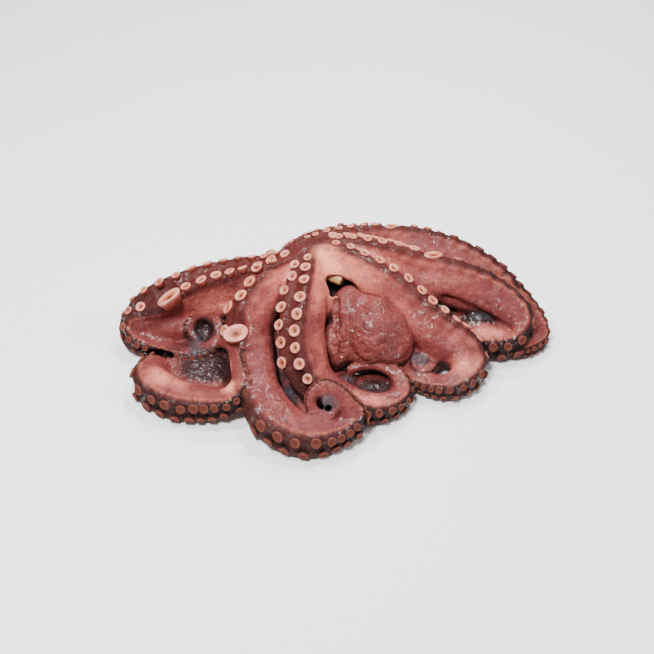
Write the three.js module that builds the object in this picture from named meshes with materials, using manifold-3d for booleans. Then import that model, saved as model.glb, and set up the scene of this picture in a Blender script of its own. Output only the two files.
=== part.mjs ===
// A whole cooked octopus resting on a flat surface, the crown of its arms uppermost.
// Eight arms drape outwards with their suckers up and coil at the tips; the mantle is tucked
// under the front, between two arms. Millimetres, +Z up, +X along the widest spread, -Y front.
// The origin is under the middle of the bounding box, on the surface it rests on.
import * as THREE from "three";
import * as BufferGeometryUtils from "three/addons/utils/BufferGeometryUtils.js";
import Module from "manifold-3d";

const wasm = await Module();
wasm.setup();

// Driving dimensions
const ARM_WIDTH = 0.85; // width of an arm over its depth from sucker side to outer side
const RING_SIDES = 8;
const RING_FIT = 1.07; // an inscribed ring is let out by this to keep the girth of the oval
const SLICE_STEP = 0.92; // distance between rings over the arm's half depth
const SLICE_LEAST = 4.8;
const LENGTH_RINGS = 12; // most rings in one length of arm
const BEND_LIMIT = 0.9; // flesh inside a bend stops short of the middle of the bend by this
const SUCKER_SIZE = 0.27; // rim radius over the arm's half depth
const SUCKER_PITCH = 2.35; // distance between suckers of a row over the rim radius
const SUCKER_REACH = [18, 88]; // stretch of an arm that carries modelled suckers, from the crown
const ROW_ROOT = 19; // half angle between the two rows, degrees, at the crown
const ROW_OPEN = 30; // and further out
const ROW_RAMP = 45; // distance over which the rows part
const WEB_THICKNESS = 4.2;
const CROWN = { at: [-23, 59, 61], size: [29, 25, 19] };
const HEAD = { at: [-8, 43, 34], size: [36, 34, 36] };
const MANTLE = { at: [31, 9, 29], size: [35, 37, 31] };
const LOBE = { at: [1, -6, 25], size: [17, 20, 22] };
// Loose skin gathered low inside the coils and behind the mantle.
const FOLDS = [
  { at: [-116, -19, 8], size: [32, 30, 9] },
  { at: [30, -43, 7], size: [24, 15, 8] },
  { at: [-32, -53, 6], size: [26, 24, 9] },
  { at: [60, -5, 11], size: [19, 17, 11] },
  { at: [-140, 23, 20], size: [26, 14, 12] },
  { at: [130, 27, 20], size: [22, 12, 12] },
];
const SIPHON = { at: [-3, 46, 57], way: [0.5, -0.75, -0.05], radius: 5.2, bore: 3, length: 16 };

// Arms from the crown outwards: [x, y, z, half depth, roll]. Roll is the angle of the sucker side
// from straight up towards the right of the way the arm runs. "large" lists the one big sucker:
// row (-1 right, 1 left), distance along the arm, size over its neighbours. "buried" is the length
// that runs under another arm.
const ARMS = {
  front: {
    path: [
      [-20, 54, 66, 15, 22], [-22, 36, 64, 18, 26], [-25, 13, 58, 20, 30], [-27, -10, 46, 20.5, 40],
      [-24, -31, 33, 20, 52], [-13, -47, 23, 17, 70], [10, -59, 16, 14.5, 85], [35, -62, 12, 12.5, 90],
      [52, -51, 11, 11, 90], [52, -36, 13, 8.5, 90], [43, -26, 15, 7.5, 90], [25, -26, 17, 6.5, 90],
      [12, -32, 17, 4.5, 90],
    ],
  },
  frontLeft: {
    path: [
      [-30, 54, 66, 14, 20], [-43, 46, 62, 17, 35], [-58, 30, 54, 20, 45], [-71, 6, 42, 21, 52],
      [-73, -19, 29, 20.5, 68], [-68, -51, 19, 21, 85], [-50, -82, 17, 20, 90], [-22, -94, 14, 16, 90],
      [4, -87, 13, 13, 88], [15, -80, 19, 11, 80], [10, -75, 28, 9, 68], [3, -70, 38, 6.8, 55],
      [-9, -66, 42, 5.8, 50], [-19, -71, 37, 5.2, 65], [-19, -79, 29, 4.9, 114], [-10, -83, 25, 4.5, 135],
    ],
    large: [-1, 83, 1.9],
  },
  frontRight: {
    path: [
      [-15, 62, 66, 15, -20], [8, 54, 65, 18, -30], [30, 41, 60, 20, -36], [50, 29, 52, 20.5, -40],
      [69, 15, 40, 20.5, -45], [90, 2, 27, 19, -58], [107, -9, 19, 17, -76], [112, -22, 14, 14, -90],
      [98, -37, 12, 11.5, -90], [79, -36, 10, 9, -90], [66, -27, 10, 7.5, -90], [66, -13, 10, 6, -90],
      [74, -10, 11, 5, -90], [79, -18, 11, 4, -90],
    ],
  },
  right: {
    path: [
      [-13, 67, 66, 15, -20], [11, 65, 65, 18, -30], [43, 58, 61, 20, -38], [77, 51, 53, 20.5, -46],
      [110, 45, 44, 20, -58], [138, 38, 33, 18, -74], [154, 25, 24, 16, -82], [149, 13, 17, 14.5, -90],
      [130, 10, 15, 13.5, -90], [114, 24, 17, 11, -90], [102, 43, 19, 8, -90],
    ],
    large: [-1, 93, 1.7],
  },
  backRight: {
    path: [
      [-23, 59, 66, 14, -20], [-23, 73, 62, 15, -24], [4, 84, 61, 16, -30], [44, 90, 56, 17, -45],
      [83, 84, 51, 17.5, -58], [121, 71, 41, 17, -66], [147, 51, 29, 16, -76], [167, 35, 17, 13, -85],
      [176, 20, 9, 9, -90], [162, 9, 8, 8, -90], [145, 5, 8, 6, -90],
    ],
    large: [-1, 88, 1.5],
  },
  left: {
    path: [
      [-32, 52, 66, 14, 14], [-57, 43, 61, 18, 10], [-84, 43, 54, 19.5, 2], [-118, 40, 45, 21, -6],
      [-148, 33, 34, 20.5, -12], [-168, 26, 21, 15.5, 40], [-169, 16, 13, 12, 80], [-153, 6, 12, 9.5, 88],
      [-134, -2, 13, 8.5, 90], [-116, -3, 14, 8, 90], [-102, 8, 15, 6.5, 90], [-100, 21, 17, 6, 90],
      [-106, 31, 18, 5.5, 90], [-118, 33, 19, 5, 90], [-124, 25, 19, 4.5, 90],
    ],
    large: [-1, 114, 1.9],
  },
  lowLeft: {
    path: [
      [-35, 64, 50, 13, 40], [-73, 47, 34, 14, 50], [-113, 14, 22, 15, 60], [-147, -11, 16, 16, 80],
      [-148, -34, 14, 16, 90], [-133, -52, 13, 16, 90], [-108, -57, 14, 14.5, 90], [-88, -50, 18, 12.5, 90],
      [-80, -33, 27, 10, 90], [-85, -15, 30, 8, 90],
    ],
    buried: 44,
  },
  back: {
    path: [
      [-25, 59, 57, 13, 15], [-35, 72, 45, 14.5, 25], [-46, 83, 31, 15.5, 45], [-61, 91, 19, 15, 70],
      [-80, 94, 13, 12.5, 90], [-97, 88, 11, 10.5, 90], [-102, 74, 10, 9, 90], [-91, 64, 9, 7.5, 90],
      [-77, 68, 9, 6, 90], [-77, 79, 9, 5, 90],
    ],
  },
};

// Webs of skin between neighbouring arms: how far along each arm they reach, how deep the free
// edge is cut back in the middle, and how far the sheet sags.
const WEBS = [
  { arms: ["front", "frontLeft"], reach: [128, 140], cut: 0.2, sag: 14 },
  { arms: ["frontLeft", "lowLeft"], reach: [80, 90], cut: 0.3, sag: 4 },
  { arms: ["lowLeft", "left"], reach: [110, 120], cut: 0.2, sag: 2 },
  { arms: ["left", "back"], reach: [80, 70], cut: 0.4, sag: 8 },
  { arms: ["back", "backRight"], reach: [60, 80], cut: 0.4, sag: 8 },
  { arms: ["backRight", "right"], reach: [150, 150], cut: 0.1, sag: 3 },
  { arms: ["right", "frontRight"], reach: [130, 122], cut: 0.25, sag: 9 },
  { arms: ["frontRight", "front"], reach: [50, 34], cut: 0.3, sag: 3 },
];

const UP = new THREE.Vector3(0, 0, 1);
const radians = THREE.MathUtils.degToRad;

// Closed mesh of a three.js geometry as a solid.
function solid(geometry) {
  geometry.deleteAttribute("normal");
  geometry.deleteAttribute("uv");
  const merged = BufferGeometryUtils.mergeVertices(geometry, 1e-4);
  const mesh = new wasm.Mesh({
    numProp: 3,
    vertProperties: new Float32Array(merged.attributes.position.array),
    triVerts: new Uint32Array(merged.index.array),
  });
  return new wasm.Manifold(mesh);
}

function ellipsoid({ at, size }, around = 16, rings = 10) {
  const shape = new THREE.SphereGeometry(1, around, rings).rotateX(Math.PI / 2);
  return solid(shape.scale(...size).translate(...at));
}

// Smooth curves through the rows of an arm: place, half depth and roll at any distance along it.
// Past the end the line runs straight on.
function armLine(path) {
  const curve = (points) => new THREE.CatmullRomCurve3(points, false, "catmullrom", 0.5);
  const line = curve(path.map(([x, y, z]) => new THREE.Vector3(x, y, z)));
  const girth = curve(path.map((row) => new THREE.Vector3(row[3], row[4], 0)));
  line.arcLengthDivisions = 400;
  const total = line.getLength();
  return {
    total,
    at(distance) {
      const t = line.getUtoTmapping(Math.min(distance / total, 1));
      const { x: depth, y: roll } = girth.getPoint(t);
      const along = line.getTangent(t);
      const right = along.clone().cross(UP).normalize();
      const over = right.clone().cross(along);
      const [c, s] = [Math.cos(radians(roll)), Math.sin(radians(roll))];
      const oral = over.multiplyScalar(c).addScaledVector(right, s);
      const place = line.getPoint(t).addScaledVector(along, Math.max(distance - total, 0));
      return { place, depth, oral, side: along.clone().cross(oral), along, bend: bendAt(line, t) };
    },
  };
}

// Way towards the middle of the bend at a parameter of a line, and the radius of the bend.
function bendAt(line, t) {
  const step = 0.012;
  const before = Math.max(t - step, 0);
  const after = Math.min(t + step, 1);
  const turn = line.getTangent(after).sub(line.getTangent(before));
  const run = line.getPoint(after).distanceTo(line.getPoint(before));
  return { way: turn.clone().normalize(), radius: run / Math.max(turn.length(), 1e-6) };
}

// Point of an arm's skin at an angle from the middle of its sucker side, and the way it faces.
// Inside a tight bend the flesh is pressed flat instead of crossing over itself.
function skin({ place, depth, oral, side, bend }, angle, scale = 1) {
  const c = Math.cos(angle);
  const s = Math.sin(angle);
  const offset = oral.clone().multiplyScalar(depth * c * scale);
  offset.addScaledVector(side, depth * ARM_WIDTH * s * scale);
  const excess = offset.dot(bend.way) - bend.radius * BEND_LIMIT;
  if (excess > 0) offset.addScaledVector(bend.way, -excess);
  const way = oral.clone().multiplyScalar(c).addScaledVector(side, s / ARM_WIDTH).normalize();
  return { point: place.clone().add(offset), way };
}

// Distances of the rings of an arm: closer together as it gets thinner.
function stations(arm) {
  const list = [];
  for (let distance = 0; distance < arm.total - 2; ) {
    list.push(distance);
    distance += Math.max(arm.at(distance).depth * SLICE_STEP, SLICE_LEAST);
  }
  return [...list, arm.total];
}

// An arm, joined from lathe-turned lengths bent along its line. A coil that comes back to itself
// is made of lengths that don't, and they share the ring where they meet.
function armBody(arm) {
  const all = stations(arm);
  const count = Math.ceil(all.length / LENGTH_RINGS);
  const lengths = [];
  for (let i = 0; i < count; i++) {
    const from = Math.round((i * (all.length - 1)) / count);
    const to = Math.round(((i + 1) * (all.length - 1)) / count);
    lengths.push(bentLathe(arm, all.slice(from, to + 1), i === count - 1));
  }
  return wasm.Manifold.union(lengths);
}

function bentLathe(arm, distances, tip) {
  const outline = distances.map((distance) => new THREE.Vector2(RING_FIT, distance));
  const last = distances.at(-1);
  if (tip) outline.push(new THREE.Vector2(0.6, last + arm.at(last).depth * 0.6));
  const profile = [new THREE.Vector2(0, distances[0]), ...outline, new THREE.Vector2(0, outline.at(-1).y)];
  const shape = new THREE.LatheGeometry(profile, RING_SIDES, Math.PI / RING_SIDES);
  const position = shape.attributes.position;
  for (let i = 0; i < position.count; i++) {
    const station = arm.at(position.getY(i));
    const spread = Math.hypot(position.getX(i), position.getZ(i));
    const { point } = skin(station, Math.atan2(position.getX(i), position.getZ(i)), spread);
    position.setXYZ(i, point.x, point.y, point.z);
  }
  return solid(shape);
}

// A sucker: a short stem spreading to the edge of a cup; the big ones have a broad rim as well.
function sucker({ point, way }, radius, big) {
  const rim = big ? [[0.62, 0.4]] : [];
  const outline = [[0, -0.9], [0.85, -0.9], [1, 0.34], ...rim, [0, 0.02]];
  const profile = outline.map(([x, y]) => new THREE.Vector2(x * radius, y * radius));
  const shape = new THREE.LatheGeometry(profile, big ? 12 : 5);
  const turn = new THREE.Quaternion().setFromUnitVectors(new THREE.Vector3(0, 1, 0), way);
  return solid(shape.applyQuaternion(turn).translate(point.x, point.y, point.z));
}

// Half angle of a row at a distance along the arm.
function rowAngle(distance) {
  return radians(THREE.MathUtils.lerp(ROW_ROOT, ROW_OPEN, Math.min(distance / ROW_RAMP, 1)));
}

function armSuckers(arm, { large, buried = 0 }) {
  const made = [];
  const [bigRow, bigAt, bigSize] = large ?? [0, 0, 0];
  for (const row of [-1, 1]) {
    let distance = buried + SUCKER_REACH[0] + (row < 0 ? 0 : 5);
    while (distance < buried + SUCKER_REACH[1]) {
      const station = arm.at(distance);
      const radius = station.depth * SUCKER_SIZE;
      const crowded = row === bigRow && Math.abs(distance - bigAt) < radius * (bigSize + 0.8);
      if (!crowded) made.push(sucker(skin(station, row * rowAngle(distance)), radius, false));
      distance += radius * SUCKER_PITCH;
    }
  }
  if (large) {
    const station = arm.at(bigAt);
    const seat = skin(station, bigRow * (rowAngle(bigAt) + 0.12));
    made.push(sucker(seat, station.depth * SUCKER_SIZE * bigSize, true));
  }
  return made;
}

// A sheet of skin hung between two arms, thin, sagging, with a hollowed free edge.
function web(first, second, { reach, cut, sag }) {
  const shape = new THREE.BoxGeometry(1, 1, 1, 4, 6, 1);
  const position = shape.attributes.position;
  for (let i = 0; i < position.count; i++) {
    const across = position.getX(i) + 0.5;
    const belly = 4 * across * (1 - across);
    const out = (position.getY(i) + 0.5) * (1 - cut * belly);
    const a = first.at(out * reach[0]).place;
    const b = second.at(out * reach[1]).place;
    const point = a.lerp(b, across);
    const drop = sag * belly * Math.sin(Math.min(out * 1.4, 1) * Math.PI * 0.5);
    const lift = position.getZ(i) * WEB_THICKNESS * 1.3;
    position.setXYZ(i, point.x, point.y, point.z - drop + lift);
  }
  const made = solid(shape);
  return made.volume() < 0 ? solid(turned(shape)) : made;
}

// The same faces wound the other way.
function turned(geometry) {
  const index = geometry.index.array;
  for (let i = 0; i < index.length; i += 3) {
    [index[i + 1], index[i + 2]] = [index[i + 2], index[i + 1]];
  }
  return geometry;
}

// The breathing tube below the crown, with its bore.
function siphon({ at, way, radius, bore, length }) {
  const outside = [[0, 0], [radius, 0], [radius * 0.92, length]];
  const inside = [[bore, length + 1], [bore * 0.7, length - 7], [0, length - 7]];
  const profile = [...outside, ...inside].map(([x, y]) => new THREE.Vector2(x, y));
  const out = new THREE.Vector3(...way).normalize();
  const turn = new THREE.Quaternion().setFromUnitVectors(new THREE.Vector3(0, 1, 0), out);
  return solid(new THREE.LatheGeometry(profile, 10).applyQuaternion(turn).translate(...at));
}

function octopus() {
  const lines = Object.fromEntries(Object.entries(ARMS).map(([name, arm]) => [name, armLine(arm.path)]));
  const parts = [ellipsoid(CROWN), ellipsoid(HEAD), siphon(SIPHON)];
  parts.push(ellipsoid(MANTLE, 20, 13), ellipsoid(LOBE, 12, 8));
  parts.push(...FOLDS.map((fold) => ellipsoid(fold, 9, 6)));
  for (const [name, arm] of Object.entries(ARMS)) {
    parts.push(armBody(lines[name]), ...armSuckers(lines[name], arm));
  }
  for (const sheet of WEBS) parts.push(web(lines[sheet.arms[0]], lines[sheet.arms[1]], sheet));
  const below = solid(new THREE.BoxGeometry(800, 800, 100).translate(0, 0, -50));
  const bodies = wasm.Manifold.union(parts).subtract(below).decompose();
  return bodies.sort((a, b) => b.volume() - a.volume())[0]; // pockets closed in between the arms are filled
}

// Solid as a named mesh, its bounding box centred on the origin.
function meshOf(body, name, material) {
  const { vertProperties, triVerts } = body.getMesh();
  const geometry = new THREE.BufferGeometry();
  geometry.setAttribute("position", new THREE.BufferAttribute(vertProperties, 3));
  geometry.setIndex(new THREE.BufferAttribute(triVerts, 1));
  geometry.computeBoundingBox();
  const middle = geometry.boundingBox.getCenter(new THREE.Vector3());
  geometry.translate(-middle.x, -middle.y, 0);
  geometry.computeVertexNormals();
  const mesh = new THREE.Mesh(geometry, material);
  mesh.name = name;
  return mesh;
}

const flesh = new THREE.MeshStandardMaterial({ color: 0xb0655a, roughness: 0.35, metalness: 0 });
const part = new THREE.Group();
part.name = "cooked_octopus";
part.add(meshOf(octopus(), "octopus", flesh));

export default part;
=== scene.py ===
# A whole cooked octopus on a pale floor: skin, mantle, siphon and suckers, and the studio round it.
import math

import bmesh
import bpy
import numpy as np
from mathutils import Matrix, Vector, noise
from mathutils.bvhtree import BVHTree


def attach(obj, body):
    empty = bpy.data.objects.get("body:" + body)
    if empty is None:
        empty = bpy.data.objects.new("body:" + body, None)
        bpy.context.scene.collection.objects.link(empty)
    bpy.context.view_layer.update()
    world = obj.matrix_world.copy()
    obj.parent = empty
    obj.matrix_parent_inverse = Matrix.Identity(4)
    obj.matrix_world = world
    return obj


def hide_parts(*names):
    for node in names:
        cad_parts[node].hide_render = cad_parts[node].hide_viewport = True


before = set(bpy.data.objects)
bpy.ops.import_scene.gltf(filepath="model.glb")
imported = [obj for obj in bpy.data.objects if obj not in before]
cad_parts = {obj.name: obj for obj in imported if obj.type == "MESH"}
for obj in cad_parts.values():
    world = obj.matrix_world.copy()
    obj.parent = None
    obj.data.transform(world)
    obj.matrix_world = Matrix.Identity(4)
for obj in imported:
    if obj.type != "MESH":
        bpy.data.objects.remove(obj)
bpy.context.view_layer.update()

bl_info = {
    "name": "Cooked octopus",
    "version": (1, 0, 0),
    "blender": (4, 5, 0),
    "location": "View3D > Sidebar > Octopus",
    "description": "Builds a cooked octopus with draped arms, cupped suckers and a tucked mantle",
    "category": "Add Mesh",
}

MM = 0.001
SHIFT = np.array([-0.165, 0.468, 0.0])  # centres the body on the origin, millimetres
ARM_WIDTH = 0.85  # width of an arm over its depth

# Arms from the crown outwards, millimetres and degrees: x, y, z, half depth, roll of the sucker side
# from straight up towards the right of the way the arm runs.
ARMS = {
    "front": [
        (-20, 54, 66, 15, 22), (-22, 36, 64, 18, 26), (-25, 13, 58, 20, 30), (-27, -10, 46, 20.5, 40),
        (-24, -31, 33, 20, 52), (-13, -47, 23, 17, 70), (10, -59, 16, 14.5, 85), (35, -62, 12, 12.5, 90),
        (53, -51, 12, 10.5, 90), (53, -38, 17, 8, 85), (44, -28, 21, 6.6, 80), (28, -24, 23, 6, 78),
        (12, -29, 21, 4.5, 80),
    ],
    "front_left": [
        (-30, 54, 66, 14, 20), (-43, 46, 62, 17, 35), (-58, 30, 54, 20, 45), (-71, 6, 42, 21, 52),
        (-68, -19, 29, 18.5, 68), (-62, -51, 20, 18, 85), (-47, -80, 17, 18.5, 90), (-22, -94, 14, 16, 90),
        (4, -87, 13, 13, 88), (15, -80, 19, 11, 80), (10, -75, 28, 9, 68), (3, -70, 38, 6.8, 55),
        (-9, -66, 42, 5.8, 50), (-19, -71, 37, 5.2, 65), (-19, -79, 29, 4.9, 114), (-10, -83, 25, 4.5, 135),
        (-1, -82, 28, 3.7, 120), (0, -76, 34, 3.2, 72), (-6, -74, 37, 2.6, 45), (-10, -76, 36, 2.3, 65),
        (-9, -79, 33, 2, 108), (-5, -79, 34, 1.7, 80),
    ],
    "front_right": [
        (-15, 62, 66, 15, -20), (8, 54, 65, 18, -30), (30, 41, 60, 20, -36), (50, 29, 52, 20.5, -40),
        (69, 15, 40, 20.5, -45), (90, 2, 27, 19, -58), (107, -9, 19, 17, -76), (112, -22, 14, 14, -90),
        (98, -37, 12, 11.5, -90), (79, -37, 11, 9, -90), (65, -31, 12, 7, -90), (58, -19, 13, 5.2, -85),
        (63, -7, 15, 4.4, -80), (75, -5, 16, 4, -80), (83, -14, 17, 3.7, -80), (78, -26, 17, 3.4, -80),
        (68, -26, 18, 3.1, -80), (65, -18, 19, 2.8, -80), (70, -12, 20, 2.5, -80), (76, -16, 20, 2.3, -80),
        (73, -21, 20, 2, -80),
    ],
    "right": [
        (-13, 67, 66, 15, -20), (11, 65, 65, 18, -30), (43, 58, 61, 20, -38), (77, 51, 53, 20.5, -46),
        (110, 45, 44, 20, -58), (138, 38, 33, 18, -74), (154, 25, 24, 16, -82), (149, 13, 17, 14.5, -90),
        (130, 10, 15, 13.5, -90), (114, 24, 17, 11, -90), (102, 43, 19, 8, -90),
    ],
    "back_right": [
        (-23, 59, 66, 14, -20), (-23, 73, 62, 15, -24), (4, 84, 61, 16, -30), (44, 90, 56, 17, -45),
        (83, 84, 51, 17.5, -58), (121, 71, 41, 17, -66), (147, 51, 29, 16, -76), (167, 35, 17, 13, -85),
        (176, 20, 9, 9, -90), (162, 9, 8, 8, -90), (145, 5, 8, 6, -90),
    ],
    "left": [
        (-32, 52, 66, 14, 14), (-57, 43, 61, 18, 10), (-84, 43, 54, 19.5, 2), (-118, 40, 45, 21, -6),
        (-148, 33, 34, 20.5, -12), (-168, 26, 21, 15.5, 40), (-169, 16, 13, 12, 80), (-153, 6, 12, 9.5, 88),
        (-134, -2, 13, 8.5, 90), (-116, -3, 14, 8, 90), (-102, 5, 17, 7.2, 85), (-99, 15, 23, 7, 72),
        (-104, 25, 28, 6.6, 60), (-114, 28, 29, 6, 55), (-122, 22, 27, 5.6, 62), (-123, 13, 23, 5, 80),
        (-117, 7, 20, 4.2, 95),
    ],
    "low_left": [
        (-35, 64, 46, 12, 40), (-73, 47, 24, 11, 50), (-113, 12, 8, 8, 60), (-144, -12, 9, 12, 80),
        (-152, -34, 13, 16.5, 90), (-133, -52, 13, 16, 90), (-108, -58, 14, 14.5, 90),
        (-87, -60, 18, 11.5, 90),
        (-77, -52, 28, 9, 75), (-79, -38, 34, 7.6, 60), (-82, -23, 35, 6.8, 55), (-88, -11, 32, 6, 60),
        (-96, -4, 27, 5, 80),
    ],
    "back": [
        (-25, 59, 57, 13, 15), (-35, 72, 45, 14.5, 25), (-46, 83, 31, 15.5, 45), (-61, 91, 19, 15, 70),
        (-80, 94, 13, 12.5, 90), (-97, 88, 11, 10.5, 90), (-102, 74, 10, 9, 90), (-91, 64, 9, 7.5, 90),
        (-77, 68, 9, 6, 90), (-77, 79, 9, 5, 90),
    ],
}

# The one big sucker of an arm: row (-1 left of the way it runs, 1 right), distance, size over its
# neighbours, how far round the arm it sits over the rest of its row, the way it faces, how far it
# may stand off the skin over its radius (below 0 it is always sunk in), and its length over its width.
BIG_SUCKERS = {
    "front_left": (-1, 83, 1.85, 0.4, (0, -0.15, 1), 0.35, 0.8),
    "right": (1, 93, 1.35, 1.0, (0.05, 0.42, 1), -0.1, 1.15),
    "back_right": (1, 88, 1.2, 1.0, (0, 0.5, 1), -0.3, 1.1),
    "left": (-1, 110, 1.6, 1.2, (-0.43, 0.22, 0.88), 0.15, 1.4),
}

# Stretch of an arm that is pressed against its neighbour and has lost its suckers.
BARE = {"front_left": (84, 156)}

# How an arm differs: size of its suckers over the usual, degrees they lean over to the arm's right,
# how far its sides draw in under the rows, where along it the suckers darken (their own darker colour
# with painted shade of the coil undersides), and how deep its far row sits in the skin.
ARM_HABIT = {
    "front": (0.87, -12, 0.02, 0.53, 0.0),
    "front_left": (1.0, -12, 0.08, 0.35, 0.0),
    "front_right": (0.84, 14, 0.2, 0.42, 0.0),
    "right": (0.84, 10, 0.34, 0.38, 0.0),
    "back_right": (0.76, 0, 0.2, 0.38, 0.12),
    "left": (0.86, 32, 0.12, 0.44, 0.12),
    "low_left": (1.0, 0, 0.0, 0.2, 0.0),
    "back": (0.9, 0, 0.1, 0.4, 0.0),
}

# Webs between neighbouring arms: the two arms, how far along each, how deep the free edge is
# hollowed, and how far the sheet sags, millimetres.
WEBS = [
    ("front", "front_left", 128, 140, 0.2, 14),
    ("front_left", "low_left", 80, 90, 0.3, 4),
    ("low_left", "left", 110, 120, 0.2, 2),
    ("front_left", "left", 96, 118, 0.3, 0),
    ("left", "back", 80, 70, 0.4, 8),
    ("back", "back_right", 60, 80, 0.4, 8),
    ("back_right", "right", 150, 150, 0.1, 3),
    ("right", "front_right", 130, 122, 0.25, 9),
    ("front_right", "front", 50, 34, 0.3, 3),
]

# Rounded masses: centre and half sizes, millimetres.
CROWN = ((-23, 59, 61), (29, 25, 19))
HEAD = ((-8, 43, 34), (36, 34, 36))
MANTLE = [((31, 9, 29), (35, 37, 31)), ((44, 2, 25), (23, 30, 26)), ((13, 20, 38), (22, 24, 23))]
LOBE = ((1, -6, 25), (17, 20, 22))
MANTLE_FOLDS = [((24, -14, 38), (20, 18, 18)), ((2, -4, 36), (14, 22, 18))]
FOLDS = [
    ((-116, -19, 8), (32, 30, 9)),
    ((32, -36, 4), (26, 18, 9)),
    ((-112, 24, 9), (22, 17, 12)),
    ((70, -17, 11), (15, 14, 7)),
    ((-32, -53, 6), (26, 24, 9)),
    ((60, -5, 11), (19, 17, 11)),
    ((-140, 23, 20), (26, 14, 12)),
    ((130, 27, 20), (22, 12, 12)),
    ((-8, -64, 28), (12, 9, 11)),
    ((7, -34, 8), (15, 14, 9)),
    ((-100, 36, 35), (32, 13, 12)),
    ((-128, 10, 8), (12, 12, 7)),
]

# Hollow under the crown and the gap round the mantle: centre, half sizes across, up and inwards, slant.
HOLLOWS = [
    ((6, 34, 55), (17, 8, 25), -28),
    ((33, 18, 54), (19, 4, 22), -22),
    ((-3, 31, 49), (4, 10, 16), 10),
    ((-150, -3, 14), (25, 2.6, 13), -12),
]

# Folds pressed into the flesh: points along each, its half width and its depth.
CREASES = [
    ([(1, 16, 56), (0, 6, 50), (1, -6, 46), (6, -17, 42), (5, -24, 32)], 2.2, 4.0),
    ([(14, -11, 50), (10, -17, 41), (14, -23, 33), (24, -27, 28)], 1.8, 2.2),
    ([(16, 12, 60), (27, 0, 59), (43, -8, 54), (58, -12, 42)], 2.6, 1.6),
    ([(38, -20, 44), (44, -23, 40)], 3.0, 2.2),
    ([(93, 31, 44), (103, 29, 42), (113, 29, 36), (128, 26, 29), (140, 19, 26), (147, 11, 30)], 3.6, 5.0),
]

# Pale cream flesh: centre and reach.
PALES = [
    ((-8, 50, 76), (14, 12, 12)),
    ((-88, -40, 32), (4, 15, 9)),
    ((-86, -56, 27), (8, 7, 8)),
    ((-142, 26, 14), (13, 13, 10)),
]

# Painted grey-blue reflection and shade over deep places: centre and reach.
PAINTED_SHEENS = [
    ((70, -16, 20), (8, 8, 7)),
    ((-6, -78, 34), (9, 8, 8)),
    ((-118, 4, 19), (7, 15, 8)),
    ((-38, -50, 8), (9, 20, 9)),
    ((5, 38, 48), (18, 16, 16)),
    ((124, 26, 27), (10, 4, 6)),
]

# Places painted paler salmon-orange where light falls on them, painted light: centre and reach.
PAINTED_WARM_LIGHTS = [
    ((-100, 34, 42), (38, 14, 16)),
    ((-138, -42, 26), (24, 14, 12)),
    ((24, -64, 22), (28, 9, 12)),
    ((106, -26, 20), (18, 14, 12)),
    ((132, 10, 24), (24, 10, 12)),
    ((-16, 20, 66), (8, 30, 12)),
]

# Very wet places: centre and reach.
WETS = [
    ((-100, 36, 42), (38, 18, 16)),
    ((128, 30, 38), (24, 16, 16)),
    ((20, 48, 62), (24, 14, 14)),
    ((72, 12, 42), (26, 18, 18)),
    ((14, -60, 22), (18, 14, 14)),
    ((-132, -24, 24), (18, 16, 14)),
    ((32, -38, 14), (24, 16, 14)),
    ((-8, 44, 74), (14, 12, 12)),
    ((-45, -84, 26), (16, 14, 14)),
]

# Flesh stained black-purple by the cooking juice, and painted black-purple shade in deep gaps and hollows:
# centre and reach.
STAINS_AND_SHADES = [
    ((-107, -20, 14), (30, 22, 20)),
    ((-111, 17, 21), (14, 14, 13)),
    ((9, -34, 10), (13, 12, 10)),
    ((-128, -2, 10), (26, 10, 12)),
    ((32, -41, 10), (19, 12, 12)),
    ((124, 26, 29), (22, 8, 8)),
    ((5, 38, 48), (20, 22, 20)),
    ((-38, -58, 12), (10, 22, 12)),
]


def smooth_step(low, high, value):
    t = np.clip((value - low) / (high - low), 0.0, 1.0)
    return t * t * (3.0 - 2.0 * t)


def bell(value, centre, wide):
    """1 at the centre, falling off smoothly to both sides."""
    return np.exp(-(((value - centre) / wide) ** 2))


def unit(rows):
    return rows / np.maximum(np.linalg.norm(rows, axis=-1, keepdims=True), 1e-9)


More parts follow.
